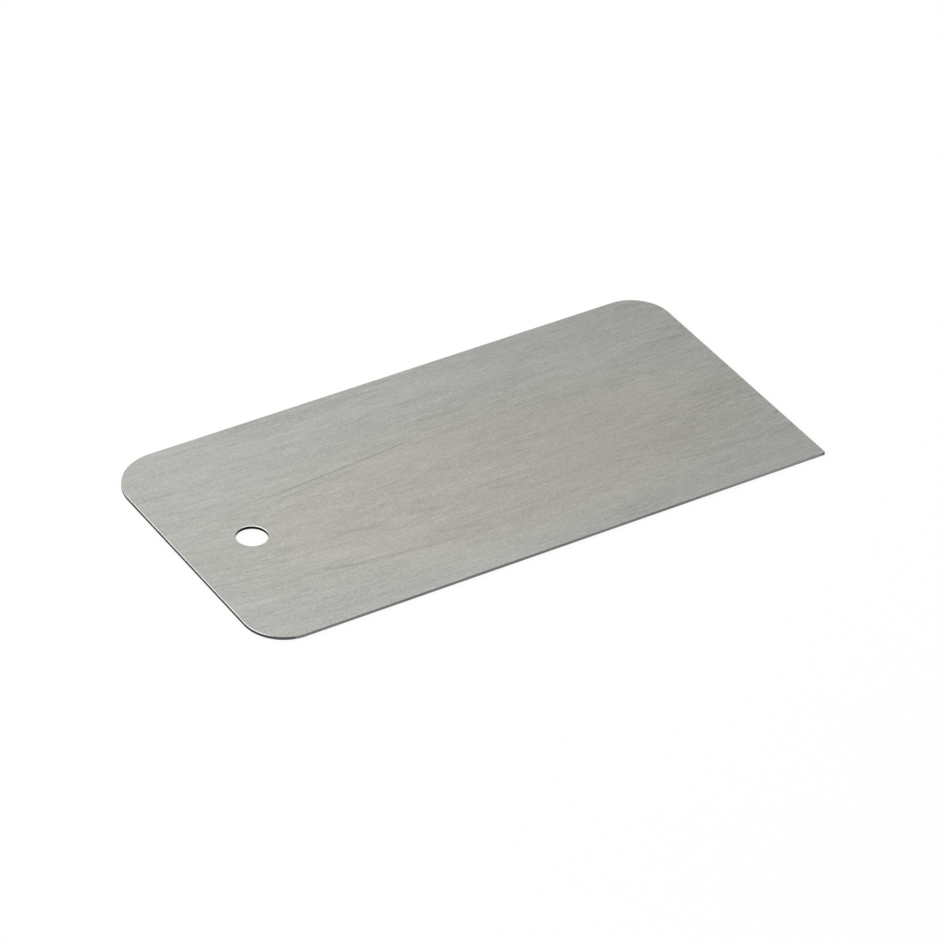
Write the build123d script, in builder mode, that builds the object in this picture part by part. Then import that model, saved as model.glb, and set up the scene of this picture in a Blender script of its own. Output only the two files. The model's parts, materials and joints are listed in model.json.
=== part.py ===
from build123d import *
import os

os.makedirs("parts", exist_ok=True)

# Card scraper: one blade of spring-steel sheet, lying flat on its underside.
# Millimetres. The origin is the middle of the underside's outline, +X runs along the length
# to the end with the square corner, +Y across to the far long edge and +Z up through the sheet.

# Finished blade
blade_length = 120.0
blade_width = 61.0
sheet_thickness = 0.7

# Rounded corners. The fourth, near right, is left square to reach into a corner.
far_left_radius = 10.0
far_right_radius = 8.0
near_left_radius = 8.0

# Hanging hole, on the held end
hanging_hole_diameter = 6.0
hanging_hole_from_end = 14.0
hanging_hole_off_middle = 0.8

# Arrises that the punch and the stone leave round the blank and round its hole
upper_arris_radius = 0.15
lower_arris_chamfer = 0.05

# The long edges and the right end are working edges. Each is ground back past the rolled
# arris by this much, until it is square and sharp.
ground_past_arris = 0.05
grinding_allowance = upper_arris_radius + ground_past_arris

# Places that follow from the sizes above
left_end_x = -blade_length / 2
right_end_x = blade_length / 2
near_edge_y = -blade_width / 2
far_edge_y = blade_width / 2
hanging_hole_centre = (left_end_x + hanging_hole_from_end, -hanging_hole_off_middle)


def blade_outline(allowance):
    """The blade's outline, with its three working edges standing out by an allowance."""
    right_x = right_end_x + allowance
    near_y = near_edge_y - allowance
    far_y = far_edge_y + allowance
    rounded_corners = [
        (far_left_radius, (left_end_x, far_y)),
        (far_right_radius, (right_x, far_y)),
        (near_left_radius, (left_end_x, near_y)),
    ]
    with BuildSketch(Plane.XY) as outline:
        with Locations((left_end_x, near_y)):
            Rectangle(right_x - left_end_x, far_y - near_y, align=(Align.MIN, Align.MIN))
        for radius, corner in rounded_corners:
            fillet(outline.vertices().sort_by_distance(corner)[0], radius=radius)
    return outline.sketch


with BuildPart() as scraper_blade:
    # The blank is punched from the sheet, oversize at its working edges, with its hole.
    with BuildSketch(Plane.XY):
        add(blade_outline(grinding_allowance))
    extrude(amount=sheet_thickness)
    with Locations(Plane.XY.offset(sheet_thickness)):
        with Locations(hanging_hole_centre):
            Hole(radius=hanging_hole_diameter / 2)

    # The punch rolls every upper edge over, and the burr on the lower ones is stoned off.
    upper_face = scraper_blade.faces().sort_by(Axis.Z)[-1]
    fillet(upper_face.edges(), radius=upper_arris_radius)
    lower_face = scraper_blade.faces().sort_by(Axis.Z)[0]
    chamfer(lower_face.edges(), length=lower_arris_chamfer)

    # Grinding takes the working edges back to size. The rolled arris stays on the held end
    # and runs out round its two corners.
    with BuildSketch(Plane.XY):
        add(blade_outline(0))
    extrude(amount=sheet_thickness, mode=Mode.INTERSECT)

scraper_blade.part.label = "scraper_blade"
export_step(scraper_blade.part, "parts/scraper_blade.step")
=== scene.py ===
import json
import math
from collections import namedtuple

import bpy
from mathutils import Matrix, Vector
from mathutils.geometry import delaunay_2d_cdt


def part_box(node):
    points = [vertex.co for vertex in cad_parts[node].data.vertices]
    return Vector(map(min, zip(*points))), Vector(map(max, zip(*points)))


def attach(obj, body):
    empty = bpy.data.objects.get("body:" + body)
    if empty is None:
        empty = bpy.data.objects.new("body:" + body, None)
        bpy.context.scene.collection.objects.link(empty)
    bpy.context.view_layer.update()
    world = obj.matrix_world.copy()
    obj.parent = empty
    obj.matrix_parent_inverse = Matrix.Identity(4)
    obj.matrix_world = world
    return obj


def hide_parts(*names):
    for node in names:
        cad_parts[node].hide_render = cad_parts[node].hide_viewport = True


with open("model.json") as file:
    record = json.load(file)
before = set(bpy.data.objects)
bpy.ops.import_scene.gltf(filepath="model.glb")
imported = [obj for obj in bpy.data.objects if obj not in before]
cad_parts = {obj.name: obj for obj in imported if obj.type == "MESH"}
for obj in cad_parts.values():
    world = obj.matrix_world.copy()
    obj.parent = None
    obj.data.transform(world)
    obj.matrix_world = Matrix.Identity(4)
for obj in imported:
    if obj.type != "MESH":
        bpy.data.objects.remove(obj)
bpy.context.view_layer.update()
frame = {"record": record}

# Card scraper: one blade of spring-steel sheet, lying flat in a light tent. The frame is in
# metres. +X points to the right end, with the square corner, and +Y to the far long edge. The
# hanging hole is at the left end, the held end, which is the only one that isn't ground.
MM = 0.001

# The blade. Its box and its hole come from the frame.
LOW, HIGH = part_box("scraper_blade")
THICKNESS = HIGH.z - LOW.z
HOLE = next(m for m in frame["record"]["mounts"] if m["name"] == "hanging_hole")
HOLE_X, HOLE_Y = HOLE["pos_m"][0], HOLE["pos_m"][1]
HOLE_RADIUS = HOLE["dims"]["r_mm"] * MM
FAR_LEFT_RADIUS = 10 * MM
FAR_RIGHT_RADIUS = 8 * MM
NEAR_LEFT_RADIUS = 8 * MM
SQUARE_CORNER_RADIUS = 0.12 * MM      # the square corner, dulled by a stroke of the stone

# The arrises. A share of 0 is a ground edge, and 1 an edge as the punch and the stone left it.
ROLLED_ARRIS = 0.15 * MM              # upper arris that the punch leaves on the held end
STONED_ARRIS = 0.05 * MM              # lower arris there
GROUND_ARRIS = 0.03 * MM              # what use has taken off the sharp working edges
HOLE_ROLLED = 0.92                    # share of the rolled arris at the hole's rim
HOLE_FLAT = 0.7                       # how far the middle of the rim's arris is flattened

# The rolled arris runs out round the held end's corners. It is gone where the outline faces
# that end by less than the first share, and whole by more than the second.
ARRIS_GONE_FACING = 0.6
ARRIS_WHOLE_FACING = 0.9

# Round the held end's corners the wall is torn less and less, down to the least share, by this
# power of the turn that is left; its dark colour there is partly painted shade. Past GROUND_TURN
# of the turn, grinding has taken the tear away.
TORN_AND_SHADE_LEAST = 0.55
TORN_AND_SHADE_FADE = 4
GROUND_TURN = 0.84

# The blade's finishes, in the order of its material slots
FACE, EDGE, ARRIS = range(3)

# Fineness of the mesh. The faces' inner points keep a margin from the outline and the hole.
CORNER_STEPS = 40
SQUARE_CORNER_STEPS = 4
EDGE_STEP = 0.6 * MM
HOLE_STEPS = 96
ARRIS_STEPS = 6
FACE_STEP = 3 * MM
FACE_MARGIN = 1.5 * FACE_STEP
MERGE_DISTANCE = 1e-9

# The edge's section has facets for the lower arris, one for the wall and facets for the upper
# arris, which are burnished from this one up. The one below it takes the wall's dark colour,
# partly painted shade.
FIRST_BURNISHED = ARRIS_STEPS + 2

# The grain runs along the blade, wanders a little, and fans out at the held end.
FAN_DEPTH = 3.5 * MM
FAN_REACH = 18 * MM
FAN_MIDDLE = -7 * MM
FAN_SPREAD = 30 * MM
GRAIN_TILT = 0.005
WANDER = 0.25 * MM
WANDER_LENGTH = 9 * MM
WANDER_WIDTH = 5 * MM

# A stop on the outline: its place and outward normal, how much of the punch's rolled arris is
# left there (0 to 1), and how much of the wall is as the punch tore it and darkened with painted
# shade (0 to 1).
Station = namedtuple("Station", "point normal rolled torn")

# A corner of the outline: its place, which way is inwards, its radius, the angle in degrees that
# its arc starts at, the arc's steps, and how torn and darkened, partly with painted shade, its
# wall is by the share of the turn.
Corner = namedtuple("Corner", "x y inward_x inward_y radius start steps torn")


# ---------------------------------------------------------------- blade mesh

def rolled_share(normal):
    """1 along the held end, left as punched, running out round its corners to 0."""
    share = (-normal.x - ARRIS_GONE_FACING) / (ARRIS_WHOLE_FACING - ARRIS_GONE_FACING)
    share = min(1.0, max(0.0, share))
    return share * share * (3 - 2 * share)


def all_torn_and_shaded(turn):
    return 1.0


def least_torn_and_shaded(turn):
    return TORN_AND_SHADE_LEAST


def torn_and_shaded_from_end(turn):
    """Torn in full next to the held end (turn 0), and dressed next to the long edge (turn 1). The
    darkness is partly painted shade.
    """
    if turn < GROUND_TURN:
        return TORN_AND_SHADE_LEAST + (1 - TORN_AND_SHADE_LEAST) * (1 - turn) ** TORN_AND_SHADE_FADE
    return 0.0


def torn_and_shaded_to_end(turn):
    return torn_and_shaded_from_end(1 - turn)


# The corners, anticlockwise from the square one
CORNERS = [
    # The right end is ground. Its far corner's darker wall is painted shade, and its square
    # corner gets the darkest wall colour.
    Corner(HIGH.x, LOW.y, -1, 1, SQUARE_CORNER_RADIUS, -90, SQUARE_CORNER_STEPS, all_torn_and_shaded),
    Corner(HIGH.x, HIGH.y, -1, -1, FAR_RIGHT_RADIUS, 0, CORNER_STEPS, least_torn_and_shaded),
    Corner(LOW.x, HIGH.y, 1, -1, FAR_LEFT_RADIUS, 90, CORNER_STEPS, torn_and_shaded_to_end),
    Corner(LOW.x, LOW.y, 1, 1, NEAR_LEFT_RADIUS, 180, CORNER_STEPS, torn_and_shaded_from_end),
]


def corner_arc(corner):
    """Stations round one corner of the outline, a quarter turn."""
    centre = Vector((
        corner.x + corner.inward_x * corner.radius,
        corner.y + corner.inward_y * corner.radius))
    stations = []
    for i in range(corner.steps + 1):
        angle = math.radians(corner.start + 90 * i / corner.steps)
        normal = Vector((math.cos(angle), math.sin(angle)))
        point = centre + normal * corner.radius
        torn = corner.torn(i / corner.steps)
        stations.append(Station(point, normal, rolled_share(normal), torn))
    return stations


def outline_stations():
    """Stations round the blade, anticlockwise from the square corner."""
    arcs = [corner_arc(corner) for corner in CORNERS]
    stations = []
    for arc, following in zip(arcs, arcs[1:] + arcs[:1]):
        stations += arc
        last = arc[-1]
        # The held end's straight wall gets the darkest colour, torn metal with painted shade; the
        # straight ground edges get none.
        torn = 1.0 if round(last.normal.x) == -1 else 0.0
        run = following[0].point - last.point
        steps = max(1, round(run.length / EDGE_STEP))
        for i in range(1, steps):
            stations.append(last._replace(point=last.point + run * (i / steps), torn=torn))
    return stations


def hole_stations():
    """Stations round the hanging hole, clockwise, so that its normals point into the hole."""
    stations = []
    for i in range(HOLE_STEPS):
        angle = -2 * math.pi * i / HOLE_STEPS
        normal = -Vector((math.cos(angle), math.sin(angle)))
        point = Vector((HOLE_X, HOLE_Y)) - normal * HOLE_RADIUS
        # The hole's wall gets the darkest colour, torn metal with painted shade.
        stations.append(Station(point, normal, HOLE_ROLLED, 1.0))
    return stations


def arris_section(size, flat):
    """An arris from the wall to the face: (inset, rise, slope of normal). It is round, or has
    its middle flattened at 45 degrees by a share of flat."""
    slopes = []
    for i in range(ARRIS_STEPS + 1):
        turn = 2 * i / ARRIS_STEPS - 1
        slopes.append(math.pi / 4 * (1 + (1 - flat) * turn + flat * turn ** 3))
    section = [(0.0, 0.0, slopes[0])]
    inset = rise = 0.0
    for slope, following in zip(slopes, slopes[1:]):
        inset += math.sin((slope + following) / 2)
        rise += math.cos((slope + following) / 2)
        section.append((inset, rise, following))
    return [(x * size / inset, z * size / rise, slope) for x, z, slope in section]


def edge_section(rolled, flat):
    """The edge's section from the lower face to the upper: (inset, height, slope of normal)."""
    upper = GROUND_ARRIS + (ROLLED_ARRIS - GROUND_ARRIS) * rolled
    lower = GROUND_ARRIS + (STONED_ARRIS - GROUND_ARRIS) * rolled
    lower_half = [(x, lower - z, -slope) for x, z, slope in reversed(arris_section(lower, flat))]
    upper_half = [(x, THICKNESS - upper + z, slope) for x, z, slope in arris_section(upper, flat)]
    return lower_half + upper_half


def grain_place(point):
    """A point of the flat faces as distances along the grain and across it."""
    reach = math.exp(-(point.x - LOW.x) / FAN_REACH)
    spread = math.exp(-(((point.y - FAN_MIDDLE) / FAN_SPREAD) ** 2))
    wander = WANDER * math.sin(point.x / WANDER_LENGTH + point.y / WANDER_WIDTH)
    across = point.y - LOW.y - FAN_DEPTH * reach * spread - GRAIN_TILT * point.x + wander
    return point.x - LOW.x, across


class BladeMesh:
    """Collects the blade's vertices, normals and faces."""

    def __init__(self):
        self.points, self.normals, self.torn = [], [], []
        self.faces, self.finishes, self.grain = [], [], []

    def add_point(self, point, normal, torn):
        self.points.append(point)
        self.normals.append(normal)
        self.torn.append(torn)
        return len(self.points) - 1

    def add_face(self, corners, finish, grain):
        self.faces.append(corners)
        self.finishes.append(finish)
        self.grain += grain

    def add_band(self, stations, flat):
        """Sweeps the edge section round a closed line. Gives its lowest and highest rings."""
        rings, travel = [], [0.0]
        for station, following in zip(stations, stations[1:] + stations[:1]):
            travel.append(travel[-1] + (following.point - station.point).length)
            ring = []
            for inset, height, slope in edge_section(station.rolled, flat):
                place = station.point - station.normal * inset
                facing = station.normal * math.cos(slope)
                ring.append(self.add_point(
                    Vector((place.x, place.y, LOW.z + height)),
                    Vector((facing.x, facing.y, math.sin(slope))), station.torn))
            rings.append(ring)
        for ring, following, here, there in zip(rings, rings[1:] + rings[:1], travel, travel[1:]):
            for low in range(len(ring) - 1):
                high = low + 1
                corners = (ring[low], following[low], following[high], ring[high])
                along = (here, there, there, here)
                grain = [(x, self.points[i].z) for x, i in zip(along, corners)]
                self.add_face(corners, ARRIS if low >= FIRST_BURNISHED else EDGE, grain)
        return [ring[0] for ring in rings], [ring[-1] for ring in rings]

    def add_face_sheet(self, outer, hole, height, facing):
        """Fills a flat face between the outline's ring and the hole's. It faces up (1) or
        down (-1)."""
        known = outer + hole
        ring_points = [self.points[i].to_2d() for i in known]
        first = len(outer)
        edges = [(i, (i + 1) % len(outer)) for i in range(len(outer))]
        edges += [(first + i, first + (i + 1) % len(hole)) for i in range(len(hole))]
        inside_outline = 1
        places, _, triangles, sources, _, _ = delaunay_2d_cdt(
            ring_points + face_grid(), edges, [], inside_outline, MERGE_DISTANCE)
        index = []
        for place, source in zip(places, sources):
            if source and source[0] < len(known):
                index.append(known[source[0]])
            else:
                index.append(self.add_point(
                    Vector((place.x, place.y, height)), Vector((0, 0, facing)), 0.0))
        hole_ring = set(hole)
        for triangle in triangles:
            corners = [index[i] for i in triangle[::facing]]
            if not hole_ring.issuperset(corners):
                self.add_face(corners, FACE, [grain_place(self.points[i]) for i in corners])

    def to_object(self, name, materials):
        mesh = bpy.data.meshes.new(name)
        mesh.from_pydata(self.points, [], self.faces)
        for material in materials:
            mesh.materials.append(material)
        mesh.polygons.foreach_set("material_index", self.finishes)
        mesh.attributes.new("torn", "FLOAT", "POINT").data.foreach_set("value", self.torn)
        grain = mesh.uv_layers.new(name="grain")
        grain.data.foreach_set("uv", [value for place in self.grain for value in place])
        mesh.shade_smooth()
        mesh.normals_split_custom_set_from_vertices(self.normals)
        made = bpy.data.objects.new(name, mesh)
        bpy.context.scene.collection.objects.link(made)
        return made


def face_grid():
    """Points inside the flat faces, clear of the outline and the hole, in staggered rows."""
    points = []
    rows = int((HIGH.y - LOW.y) / FACE_STEP)
    columns = int((HIGH.x - LOW.x) / FACE_STEP)
    for row in range(rows + 1):
        for column in range(columns + 1):
            x = LOW.x + (column + 0.5 * (row % 2)) * FACE_STEP
            y = LOW.y + row * FACE_STEP
            if within_outline(x, y, FACE_MARGIN):
                points.append(Vector((x, y)))
    return points


def within_outline(x, y, margin):
    """Whether a point lies inside the outline and outside the hole by a margin."""
    if math.hypot(x - HOLE_X, y - HOLE_Y) < HOLE_RADIUS + margin:
        return False
    if min(x - LOW.x, HIGH.x - x, y - LOW.y, HIGH.y - y) < margin:
        return False
    for corner in CORNERS:
        across = (corner.x - x) * corner.inward_x + corner.radius
        along = (corner.y - y) * corner.inward_y + corner.radius
        if across > 0 and along > 0 and math.hypot(across, along) > corner.radius - margin:
            return False
    return True


# ---------------------------------------------------------------- shader nodes

NOISE_ROUGHNESS = 0.55
NOISE_SPREAD = 4.0      # stretches the noise about its middle to about -1 to 1


def add_node(tree, kind, inputs=None, **settings):
    """Adds a shader node. Each input is a value, or a socket to link."""
    made = tree.nodes.new(kind)
    for name, value in settings.items():
        setattr(made, name, value)
    for name, value in (inputs or {}).items():
        if isinstance(value, bpy.types.NodeSocket):
            tree.links.new(value, made.inputs[name])
        else:
            made.inputs[name].default_value = value
    return made


def maths(tree, operation, first, second=0.0, third=0.0):
    inputs = {0: first, 1: second, 2: third}
    return add_node(tree, "ShaderNodeMath", inputs, operation=operation).outputs[0]


def vector_maths(tree, operation, *vectors):
    inputs = dict(enumerate(vectors))
    return add_node(tree, "ShaderNodeVectorMath", inputs, operation=operation).outputs[0]


def dot_product(tree, first, second):
    inputs = {0: first, 1: second}
    made = add_node(tree, "ShaderNodeVectorMath", inputs, operation="DOT_PRODUCT")
    return made.outputs["Value"]


def weighted_sum(tree, terms, start=0.0):
    """The sum of sockets, each times its weight."""
    total = start
    for socket, weight in terms:
        total = maths(tree, "MULTIPLY_ADD", socket, weight, total)
    return total


def scaled_colour(tree, colour, lightness):
    inputs = {0: colour, "Scale": lightness}
    return add_node(tree, "ShaderNodeVectorMath", inputs, operation="SCALE").outputs[0]


def blend(tree, share, first, second):
    """A colour between two, by a share from 0 to 1."""
    inputs = {"Factor": share, "A": first, "B": second}
    return add_node(tree, "ShaderNodeMix", inputs, data_type="RGBA").outputs["Result"]


def noise(tree, place, length, width, seed, detail=2.0):
    """Noise drawn out along the first axis of a place, about -1 to 1."""
    scaled = vector_maths(
        tree, "MULTIPLY_ADD", place, (1 / length, 1 / width, 1 / width), (seed, seed, seed))
    made = add_node(tree, "ShaderNodeTexNoise", {
        "Vector": scaled, "Scale": 1.0, "Detail": detail, "Roughness": NOISE_ROUGHNESS,
    }).outputs["Fac"]
    return maths(tree, "MULTIPLY_ADD", made, NOISE_SPREAD, -NOISE_SPREAD / 2)


def grain_coordinates(tree):
    """Distances along the grain and across it, in metres."""
    return add_node(tree, "ShaderNodeUVMap", uv_map="grain").outputs[0]


def blade_coordinates(tree):
    """The place on the blade, in the frame's metres."""
    return add_node(tree, "ShaderNodeTexCoord").outputs["Object"]


def new_material(name):
    material = bpy.data.materials.new(name)
    material.use_nodes = True
    material.node_tree.nodes.clear()
    return material, material.node_tree


def metal(tree, colour, roughness, height, relief, **inputs):
    """A bare metal surface with its relief, in metres."""
    bump = add_node(tree, "ShaderNodeBump", {
        "Strength": 1.0, "Distance": relief, "Height": height}).outputs["Normal"]
    shader = add_node(tree, "ShaderNodeBsdfPrincipled", {
        "Base Color": colour, "Metallic": 1.0, "Roughness": roughness, "Normal": bump, **inputs})
    add_node(tree, "ShaderNodeOutputMaterial", {"Surface": shader.outputs[0]})


# ---------------------------------------------------------------- brushed face

FACE_COLOUR = (0.4955, 0.4900, 0.4633, 1)
WARM_COLOUR = (0.4975, 0.4900, 0.4391, 1)
FACE_ROUGHNESS = 0.38
FACE_RELIEF = 0.002 * MM
BRUSHING = {"Anisotropic": 0.8, "Anisotropic Rotation": 0.25}     # a quarter turn off the grain

# The face is warmer round this place, over this length and width.
WARM_X, WARM_Y = 5 * MM, -5.7 * MM
WARM_LENGTH, WARM_WIDTH = 50 * MM, 19 * MM
WARM_FALL = 0.9

# The streaks are strongest at the right end, and ease off over this distance.
BUSY_REACH = 6 * MM

# Strokes that stand out from the grain: start and end, as X and Y in millimetres, how far the
# middle bows across and the half width, in millimetres too, and the depth of tone.
STROKES = [
    ((-39.5, 8.0), (-3.5, 10.9), -0.35, 0.20, 0.24),
    ((-37.5, 6.4), (-18.0, 7.9), -0.10, 0.22, 0.13),
    ((-60.0, 17.9), (-50.5, 17.6), 0.10, 0.28, 0.11),
    ((-57.5, 12.8), (-43.5, 9.6), -0.20, 0.35, 0.06),
    ((-60.0, 0.2), (-50.5, -1.9), 0.00, 0.25, 0.07),
    ((-60.0, -5.8), (-39.0, -11.0), -0.50, 0.45, 0.07),
    ((-42.0, -10.4), (-29.5, -11.3), 0.00, 0.35, 0.07),
    ((-33.0, -7.9), (-23.5, -9.5), 0.00, 0.75, 0.12),
    ((-47.0, -6.4), (-31.0, -7.4), -0.30, 1.00, 0.03),
    ((-40.5, -15.9), (-31.5, -18.0), 0.00, 0.42, 0.15),
    ((-34.0, -17.2), (-16.0, -19.7), 0.00, 0.36, 0.12),
    ((-34.5, -20.2), (-22.5, -21.0), 0.00, 0.25, 0.06),
    ((-50.5, -20.9), (-45.5, -20.9), 0.00, 0.25, 0.09),
    ((-17.0, -16.2), (-6.5, -18.1), 0.00, 0.45, 0.07),
    ((-14.5, 28.6), (0.5, 27.2), 0.10, 0.38, 0.07),
    ((-34.0, 28.9), (-21.0, 28.9), 0.00, 0.40, 0.08),
    ((-18.5, -8.7), (-11.0, -10.0), 0.00, 0.75, 0.07),
    ((-2.0, 15.1), (10.0, 14.8), 0.00, 0.38, 0.07),
    ((-1.5, -9.3), (4.5, -10.8), 0.00, 0.65, 0.08),
    ((51.0, -2.5), (62.0, -2.5), 0.00, 0.20, 0.10),
    ((54.0, -8.5), (62.0, -8.6), 0.00, 0.20, 0.14),
    ((53.5, -13.5), (58.0, -13.7), 0.00, 0.20, 0.12),
    ((49.0, -16.3), (62.0, -15.1), 0.00, 0.25, 0.08),
    ((52.0, 7.3), (62.0, 7.0), 0.00, 0.22, 0.08),
    ((50.0, 15.3), (62.0, 14.3), 0.00, 0.28, 0.08),
    ((41.0, -20.1), (56.0, -20.1), 0.00, 0.18, 0.08),
    ((40.0, -8.7), (56.5, -9.9), 0.00, 0.35, 0.06),
    ((47.5, -2.7), (56.0, -4.0), 0.00, 0.75, 0.06),
    ((46.0, 28.4), (57.5, 27.8), 0.00, 0.38, 0.08),
]
STROKE_ENDS = 8.0       # how quickly a stroke comes to its full depth at each end


def stroke(tree, place, start, end, bow, half_width, depth):
    """One stroke of the abrasive: its depth of tone at a place, 0 away from it."""
    start, end = Vector(start) * MM, Vector(end) * MM
    run = end - start
    side = Vector((-run.y, run.x)).normalized()
    local = vector_maths(tree, "SUBTRACT", place, (start.x, start.y, 0))
    share = dot_product(
        tree, local, (run.x / run.length_squared, run.y / run.length_squared, 0))
    offset = dot_product(tree, local, (side.x, side.y, 0))
    # The arch is 0 at the stroke's ends and 1/4 at its middle.
    arch = maths(tree, "MULTIPLY", share, maths(tree, "SUBTRACT", 1.0, share))
    arch = maths(tree, "MAXIMUM", arch, 0.0)
    offset = maths(tree, "MULTIPLY_ADD", arch, -4 * bow * MM, offset)
    away = maths(tree, "DIVIDE", offset, half_width * MM)
    falloff = maths(tree, "ADD", maths(tree, "MULTIPLY", away, away), 1.0)
    falloff = maths(tree, "MULTIPLY", falloff, falloff)
    ends = maths(tree, "MINIMUM", maths(tree, "MULTIPLY", arch, STROKE_ENDS), 1.0)
    return maths(tree, "MULTIPLY", maths(tree, "DIVIDE", ends, falloff), depth)


def stroke_marks(tree, place):
    """The depth of tone of all the strokes together."""
    marks = 0.0
    for mark in STROKES:
        marks = maths(tree, "ADD", stroke(tree, place, *mark), marks)
    return marks


def busy_share(tree, place):
    """1 at the right end, falling off along the blade."""
    along = dot_product(tree, place, (1, 0, 0))
    from_end = maths(tree, "MULTIPLY_ADD", along, 1 / BUSY_REACH, -HIGH.x / BUSY_REACH)
    return maths(tree, "EXPONENT", from_end)


def warm_share(tree, place):
    """1 in the middle of the face, falling to 0 near its edges."""
    offset = vector_maths(
        tree, "MULTIPLY_ADD", place, (1 / WARM_LENGTH, 1 / WARM_WIDTH, 0),
        (-WARM_X / WARM_LENGTH, -WARM_Y / WARM_WIDTH, 0))
    away = dot_product(tree, offset, offset)
    fall = maths(tree, "MULTIPLY", maths(tree, "MULTIPLY", away, away), -WARM_FALL)
    return maths(tree, "EXPONENT", fall)


def brushed_face():
    """Satin steel with its grain along the blade, warmer in the middle and busiest at the end."""
    material, tree = new_material("brushed_face")
    grain = grain_coordinates(tree)
    place = blade_coordinates(tree)
    tooth = noise(tree, grain, length=0.34 * MM, width=0.30 * MM, seed=5.3, detail=1.0)
    hair = noise(tree, grain, length=3.2 * MM, width=0.22 * MM, seed=3.1, detail=1.5)
    fibre = noise(tree, grain, length=7 * MM, width=0.55 * MM, seed=11.7)
    band = noise(tree, grain, length=16 * MM, width=1.8 * MM, seed=23.3)
    cloud = noise(tree, grain, length=30 * MM, width=7 * MM, seed=31.9, detail=1.0)
    patch = noise(tree, grain, length=14 * MM, width=6 * MM, seed=43.7, detail=1.0)

    busy = weighted_sum(tree, [(patch, 0.4), (busy_share(tree, place), 0.8)], 1.0)
    streaks = weighted_sum(tree, [(hair, 0.095), (fibre, 0.07)])
    streaks = maths(tree, "MULTIPLY", streaks, busy)
    broken = weighted_sum(tree, [(hair, 0.4), (fibre, 0.5), (band, 0.4)], 1.0)
    marks = maths(tree, "MULTIPLY", stroke_marks(tree, place), broken)

    lightness = weighted_sum(tree, [
        (tooth, 0.135), (streaks, 1.0), (band, 0.045), (cloud, 0.035), (marks, -1.0)], 1.0)
    roughness = weighted_sum(tree, [(hair, 0.02), (fibre, 0.02), (marks, 0.4)], FACE_ROUGHNESS)
    height = weighted_sum(tree, [(tooth, 0.4), (hair, 0.5), (fibre, 0.5), (marks, -4.0)])
    colour = blend(tree, warm_share(tree, place), FACE_COLOUR, WARM_COLOUR)
    tangent = add_node(tree, "ShaderNodeTangent", direction_type="UV_MAP", uv_map="grain")
    metal(tree, scaled_colour(tree, colour, lightness), roughness, height, FACE_RELIEF,
          Tangent=tangent.outputs[0], **BRUSHING)
    return material


# ---------------------------------------------------------------- cut edge

# Wall colours. Both are darker than bare steel: the ground and torn metal's own tone, darkened
# further as painted shade.
GROUND_AND_SHADE_COLOUR = (0.21, 0.205, 0.208, 1)
TORN_AND_SHADE_COLOUR = (0.015, 0.0145, 0.017, 1)
WALL_ROUGHNESS = 0.45
WALL_RELIEF = 0.004 * MM

# The edge is lighter towards the right end, between these places.
LIGHTER_FROM_X, LIGHTER_TO_X = 25 * MM, 42 * MM


def cut_edge():
    """The sheet's edge: ground along the working sides, dark torn metal where it was punched.
    Both of its colours are darker than the steel, partly painted shade.
    """
    material, tree = new_material("cut_edge")
    grain = grain_coordinates(tree)
    torn = add_node(tree, "ShaderNodeAttribute", attribute_name="torn").outputs["Fac"]
    scratches = noise(tree, grain, length=3 * MM, width=0.05 * MM, seed=7.9)
    grit = noise(tree, grain, length=0.12 * MM, width=0.2 * MM, seed=2.7)
    wear = noise(tree, grain, length=9 * MM, width=2 * MM, seed=13.3)
    textures = {"Factor": torn, "A": scratches, "B": grit}
    texture = add_node(tree, "ShaderNodeMix", textures).outputs[0]
    lighter_right = add_node(tree, "ShaderNodeMapRange", {
        "Value": dot_product(tree, blade_coordinates(tree), (1, 0, 0)),
        "From Min": LIGHTER_FROM_X, "From Max": LIGHTER_TO_X}).outputs[0]
    lightness = weighted_sum(tree, [(texture, 0.15), (wear, 0.10), (lighter_right, 0.22)], 1.0)
    # The wall's colour, torn metal and painted shade together, blended by the torn share.
    colour = blend(tree, torn, GROUND_AND_SHADE_COLOUR, TORN_AND_SHADE_COLOUR)
    metal(tree, scaled_colour(tree, colour, lightness), WALL_ROUGHNESS, texture, WALL_RELIEF)
    return material


# ---------------------------------------------------------------- rolled arris

# Burnished steel, made lighter than bare steel as part of the arris's painted highlight.
ARRIS_AND_HIGHLIGHT_COLOUR = (0.75, 0.75, 0.73)
ARRIS_ROUGHNESS = 0.30
ARRIS_RELIEF = 0.003 * MM


def rolled_arris():
    """The upper arris, burnished by the punch. Its colour is lighter than bare steel, partly a
    painted highlight.
    """
    material, tree = new_material("rolled_arris")
    wear = noise(tree, grain_coordinates(tree), length=2.5 * MM, width=0.3 * MM, seed=17.1)
    lightness = weighted_sum(tree, [(wear, 0.10)], 1.0)
    roughness = weighted_sum(tree, [(wear, 0.06)], ARRIS_ROUGHNESS)
    metal(tree, scaled_colour(tree, ARRIS_AND_HIGHLIGHT_COLOUR, lightness), roughness, wear, ARRIS_RELIEF)
    return material


# ---------------------------------------------------------------- studio

WHITE = (1, 1, 1, 1)
PAPER = (0.8, 0.8, 0.8, 1)
FLOOR_HALF = 3.0
FLOOR_GAP = 0.01 * MM       # between the floor and the blade's underside
FLOOR_GLOW = 0.85           # share of the floor's white that no shadow dims
WORLD_LEVEL = 0.45          # radiance of the light tent's walls

# The camera, placed as the photograph was taken: it looks at AIM from far off with a long
# lens. Its angles are in degrees, its distance in metres and its lens and sensor in millimetres.
AIM = Vector((-0.846 * MM, -3.638 * MM, THICKNESS))
CAMERA_AZIMUTH = -32.974
CAMERA_ELEVATION = 36.002
CAMERA_ROLL = 2.130
CAMERA_DISTANCE = 0.95423
CAMERA_LENS = 196.909
SENSOR = 36.0
CLIP_START, CLIP_END = 0.01, 50


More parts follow.
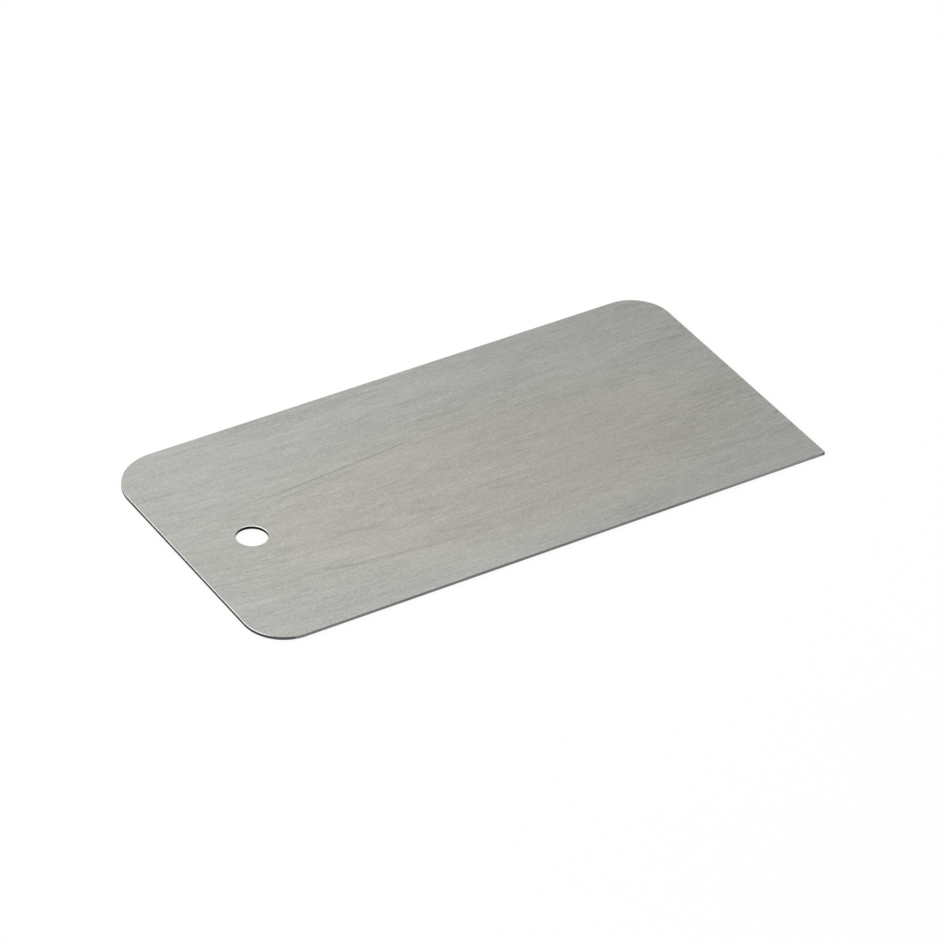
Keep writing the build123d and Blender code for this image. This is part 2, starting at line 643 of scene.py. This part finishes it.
def to_the_lens(tree):
    """1 for what the camera sees directly, in metal or through glass, else 0."""
    path = add_node(tree, "ShaderNodeLightPath")
    seen = maths(tree, "MAXIMUM", path.outputs["Is Camera Ray"], path.outputs["Is Glossy Ray"])
    return maths(tree, "MAXIMUM", seen, path.outputs["Is Transmission Ray"])


def add_floor():
    """A pale floor that reads white, and still darkens a little in the blade's shadow."""
    mesh = bpy.data.meshes.new("floor")
    signs = [(-1, -1), (1, -1), (1, 1), (-1, 1)]
    corners = [(x * FLOOR_HALF, y * FLOOR_HALF, 0) for x, y in signs]
    mesh.from_pydata(corners, [], [(0, 1, 2, 3)])
    floor = bpy.data.objects.new("floor", mesh)
    floor.location.z = LOW.z - FLOOR_GAP
    bpy.context.scene.collection.objects.link(floor)
    material, tree = new_material("floor")
    paper = add_node(tree, "ShaderNodeBsdfDiffuse", {"Color": PAPER}).outputs[0]
    white = add_node(tree, "ShaderNodeBsdfDiffuse", {"Color": WHITE}).outputs[0]
    glow = add_node(tree, "ShaderNodeEmission", {"Color": WHITE, "Strength": 1.0}).outputs[0]
    shown = add_node(tree, "ShaderNodeMixShader", {0: FLOOR_GLOW, 1: white, 2: glow}).outputs[0]
    surface = add_node(tree, "ShaderNodeMixShader", {0: to_the_lens(tree), 1: paper, 2: shown})
    add_node(tree, "ShaderNodeOutputMaterial", {"Surface": surface.outputs[0]})
    mesh.materials.append(material)


def add_world():
    """The light tent's walls. The camera sees them as plain white."""
    world = bpy.data.worlds.new("studio")
    bpy.context.scene.world = world
    world.use_nodes = True
    tree = world.node_tree
    tree.nodes.clear()
    seen = add_node(tree, "ShaderNodeLightPath").outputs["Is Camera Ray"]
    strength = maths(tree, "MULTIPLY_ADD", seen, 1 - WORLD_LEVEL, WORLD_LEVEL)
    background = add_node(tree, "ShaderNodeBackground", {"Color": WHITE, "Strength": strength})
    add_node(tree, "ShaderNodeOutputWorld", {"Surface": background.outputs[0]})


def add_softbox(name, place, facing, width, height, radiance):
    """A softbox of a given radiance, in metres. Its width is level, and its height leans with
    the way it faces."""
    light = bpy.data.lights.new(name, "AREA")
    light.shape = "RECTANGLE"
    light.size, light.size_y = width, height
    light.energy = radiance * math.pi * width * height
    lamp = bpy.data.objects.new(name, light)
    lamp.location = place
    lamp.rotation_euler = Vector(facing).to_track_quat("-Z", "Y").to_euler()
    lamp.visible_camera = False
    bpy.context.scene.collection.objects.link(lamp)


def add_camera():
    azimuth, elevation = math.radians(CAMERA_AZIMUTH), math.radians(CAMERA_ELEVATION)
    back = Vector((
        math.sin(azimuth) * math.cos(elevation),
        -math.cos(azimuth) * math.cos(elevation),
        math.sin(elevation)))
    data = bpy.data.cameras.new("camera")
    data.sensor_width = SENSOR
    data.lens = CAMERA_LENS
    data.clip_start, data.clip_end = CLIP_START, CLIP_END
    camera = bpy.data.objects.new("camera", data)
    level = (-back).to_track_quat("-Z", "Y").to_matrix()
    turn = level @ Matrix.Rotation(math.radians(CAMERA_ROLL), 3, "Z")
    camera.matrix_world = Matrix.Translation(AIM + back * CAMERA_DISTANCE) @ turn.to_4x4()
    bpy.context.scene.collection.objects.link(camera)
    bpy.context.scene.camera = camera


# ---------------------------------------------------------------- scene

blade = BladeMesh()
outer_low, outer_high = blade.add_band(outline_stations(), flat=0.0)
hole_low, hole_high = blade.add_band(hole_stations(), flat=HOLE_FLAT)
blade.add_face_sheet(outer_high, hole_high, HIGH.z, facing=1)
blade.add_face_sheet(outer_low, hole_low, LOW.z, facing=-1)
piece = blade.to_object("blade", [brushed_face(), cut_edge(), rolled_arris()])
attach(piece, "root")
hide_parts("scraper_blade")

add_floor()
add_world()
add_softbox("overhead_strip", place=(0.1, 0.4, 0.35), facing=(0, 0, -1),
            width=0.2, height=1.0, radiance=0.75)
add_softbox("overhead_fill", place=(0.3, 0.4, 0.35), facing=(0, 0, -1),
            width=0.2, height=1.0, radiance=0.38)
add_softbox("left_panel", place=(-0.72, 0.25, 0.62), facing=(0.72, 0, -0.62),
            width=1.8, height=0.85, radiance=1.4)
add_softbox("front_bank", place=(0, -0.46, 0.8), facing=(0, 0.46, -0.8),
            width=1.0, height=0.36, radiance=1.2)
add_camera()
bpy.context.scene.view_settings.view_transform = "Standard"
